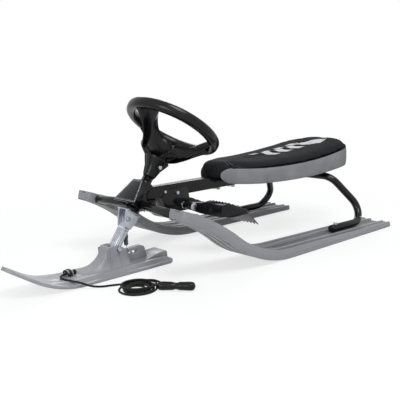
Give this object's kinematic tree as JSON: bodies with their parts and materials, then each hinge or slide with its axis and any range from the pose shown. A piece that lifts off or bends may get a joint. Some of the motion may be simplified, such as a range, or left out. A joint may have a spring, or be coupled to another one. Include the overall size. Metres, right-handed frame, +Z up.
{
  "type": "steerable snow sled",
  "caption": "Snow sled with a padded seat on a black tube frame, grey skis, a steering wheel that turns the front ski, toothed foot brakes and a tow rope.",
  "frame": {"origin": "on the floor under the middle of the sled's length and width", "axes": "+X forwards, +Y to the rider's left, +Z up"},
  "size_m": [1.15, 0.509, 0.4263],
  "materials": {
    "ski_grey": "satin moulded plastic",
    "ski_front_grey": "satin moulded plastic",
    "frame_black": "gloss black powder coat",
    "black_plastic": "satin black moulding",
    "zinc": "bright zinc plate",
    "claw_steel": "dull grey steel",
    "rubber": "matt rubber",
    "seat_grey": "satin grey moulding",
    "seat_black": "black upholstery",
    "rope_black": "braided cord"
  },
  "bodies": {
    "frame": {"ski_rear_left": "ski_grey", "ski_rear_right": "ski_grey", "hoop_rear": "frame_black", "tube_cross_left": "frame_black", "tube_cross_right": "frame_black", "tube_bent_left": "frame_black", "tube_bent_right": "frame_black", "beam": "frame_black", "head_tube": "frame_black", "head_cover": "black_plastic", "seat_shell": "seat_grey", "seat_pad": "seat_black", "seat_nose": "seat_black", "seat_bracket_front": "frame_black", "seat_bracket_rear": "frame_black", "brake_bracket": "frame_black", "brake_axle": "zinc", "rope_coil": "rope_black", "rope_handle": "black_plastic"},
    "steering": {"column": "frame_black", "wheel": "black_plastic", "fork_bracket": "zinc", "leg": "zinc", "pivot_bolt": "zinc", "damper": "rubber", "damper_hook": "zinc", "ski_front": "ski_front_grey", "rope_tow": "rope_black", "rope_knot": "rope_black"},
    "brake_left": {"pedal_left": "black_plastic", "claw_left": "claw_steel"},
    "brake_right": {"pedal_right": "black_plastic", "claw_right": "claw_steel"}
  },
  "joints": [
    {"name": "steering", "type": "hinge", "parent": "frame", "child": "steering", "pos_m": [0.077, 0, 0.345], "axis": [-0.5807, 0, 0.8141], "range_deg": [-30, 30]},
    {"name": "brake_left", "type": "hinge", "parent": "frame", "child": "brake_left", "pos_m": [0.065, 0.045, 0.138], "axis": [0, -1, 0], "range_deg": [0, 26], "stiffness_Nm_per_rad": 1.2, "springref_deg": -28.65},
    {"name": "brake_right", "type": "hinge", "parent": "frame", "child": "brake_right", "pos_m": [0.065, -0.045, 0.138], "axis": [0, -1, 0], "range_deg": [0, 26], "stiffness_Nm_per_rad": 1.2, "springref_deg": -28.65}
  ]
}
